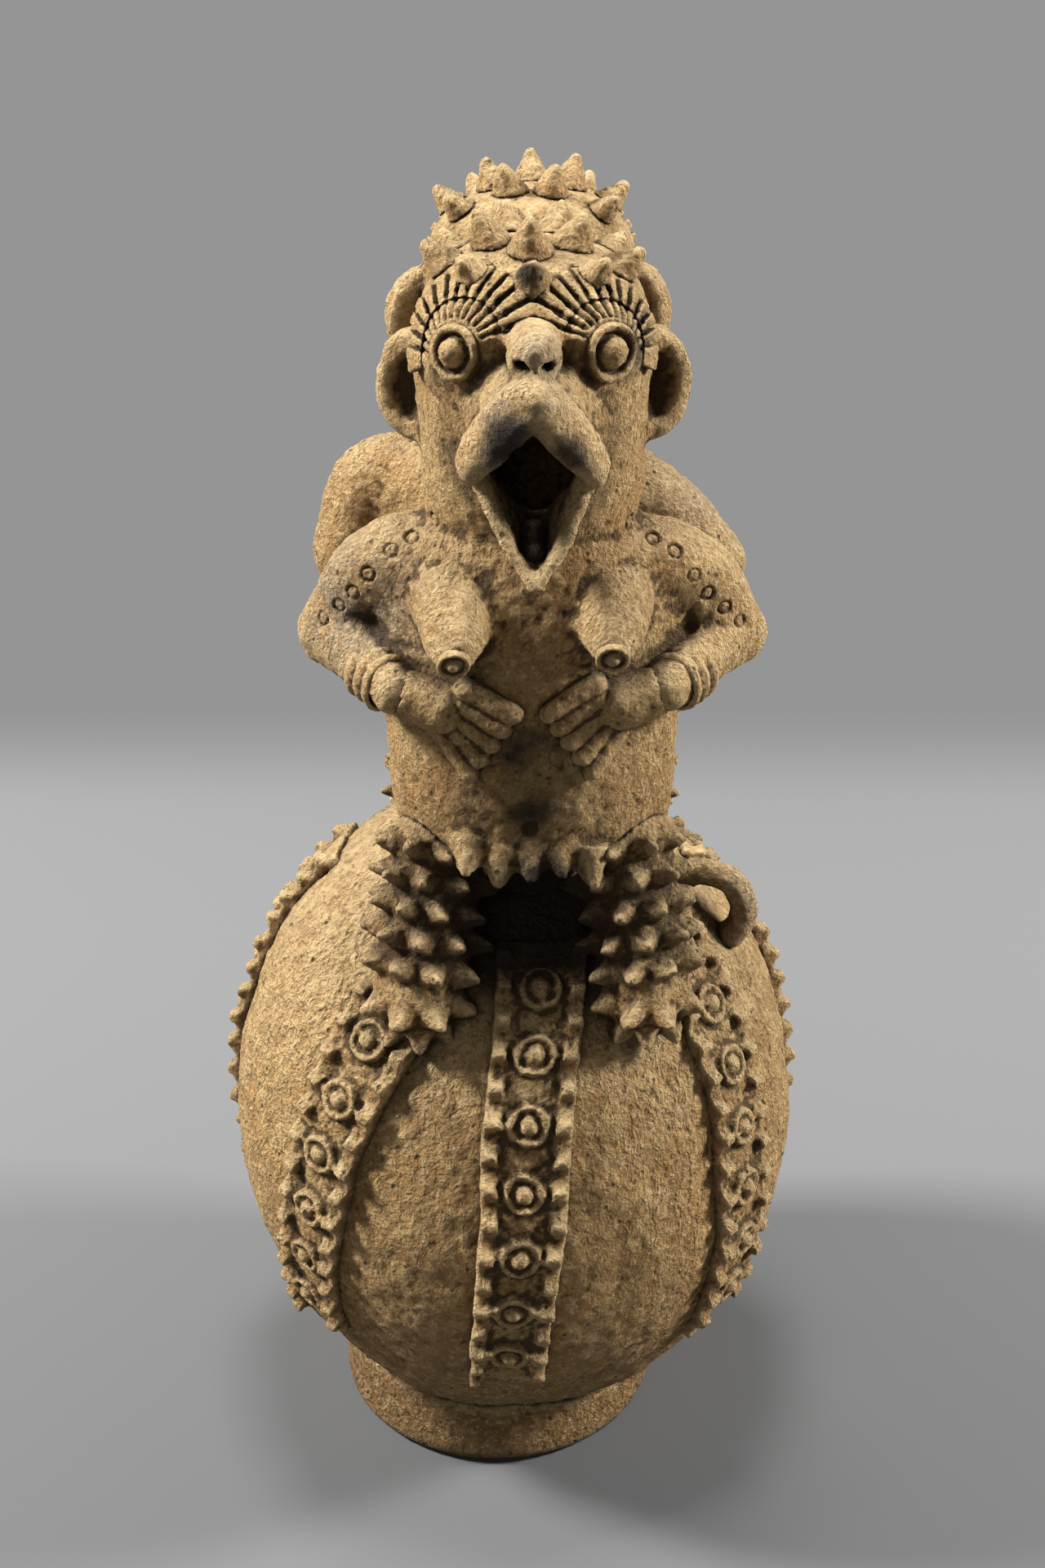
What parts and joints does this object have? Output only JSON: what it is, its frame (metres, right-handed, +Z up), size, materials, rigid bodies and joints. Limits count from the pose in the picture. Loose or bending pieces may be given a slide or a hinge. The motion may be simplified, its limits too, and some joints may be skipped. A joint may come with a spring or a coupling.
{
  "type": "askos vessel",
  "caption": "Fired clay pouring vessel: a footed globe with toothed bands and ringed bosses, topped by twin back-to-back figures whose open mouths are the spouts.",
  "frame": {"origin": "point of the ground under the middle of the globe", "axes": "+Z up through the globe, -Y the way the front figure faces, +X to the side with the shoulder ring"},
  "size_m": [0.187, 0.1867, 0.397],
  "materials": {
    "fired_clay": "matt unglazed low-fired clay with grit and worn soot"
  },
  "bodies": {
    "root": {"band_1": "fired_clay", "band_2": "fired_clay", "band_3": "fired_clay", "band_4": "fired_clay", "band_5": "fired_clay", "band_6": "fired_clay", "band_7": "fired_clay", "foot_ring": "fired_clay", "front_arm_left": "fired_clay", "front_arm_right": "fired_clay", "front_bracelets": "fired_clay", "front_breasts": "fired_clay", "front_brow_left": "fired_clay", "front_brow_right": "fired_clay", "front_ear_left": "fired_clay", "front_ear_right": "fired_clay", "front_eye_rings": "fired_clay", "front_eyeballs": "fired_clay", "front_hair_spikes": "fired_clay", "front_hand_left": "fired_clay", "front_hand_right": "fired_clay", "front_head": "fired_clay", "front_leg_left": "fired_clay", "front_leg_right": "fired_clay", "front_lower_jaw": "fired_clay", "front_nipples": "fired_clay", "front_nose": "fired_clay", "front_tongue": "fired_clay", "front_trunk": "fired_clay", "front_upper_lip": "fired_clay", "globe": "fired_clay", "rear_arm_left": "fired_clay", "rear_arm_right": "fired_clay", "rear_bracelets": "fired_clay", "rear_breasts": "fired_clay", "rear_brow_left": "fired_clay", "rear_brow_right": "fired_clay", "rear_ear_left": "fired_clay", "rear_ear_right": "fired_clay", "rear_eye_rings": "fired_clay", "rear_eyeballs": "fired_clay", "rear_hair_spikes": "fired_clay", "rear_hand_left": "fired_clay", "rear_hand_right": "fired_clay", "rear_head": "fired_clay", "rear_leg_left": "fired_clay", "rear_leg_right": "fired_clay", "rear_lower_jaw": "fired_clay", "rear_nipples": "fired_clay", "rear_nose": "fired_clay", "rear_tongue": "fired_clay", "rear_trunk": "fired_clay", "rear_upper_lip": "fired_clay", "shoulder_ring": "fired_clay"}
  },
  "joints": []
}
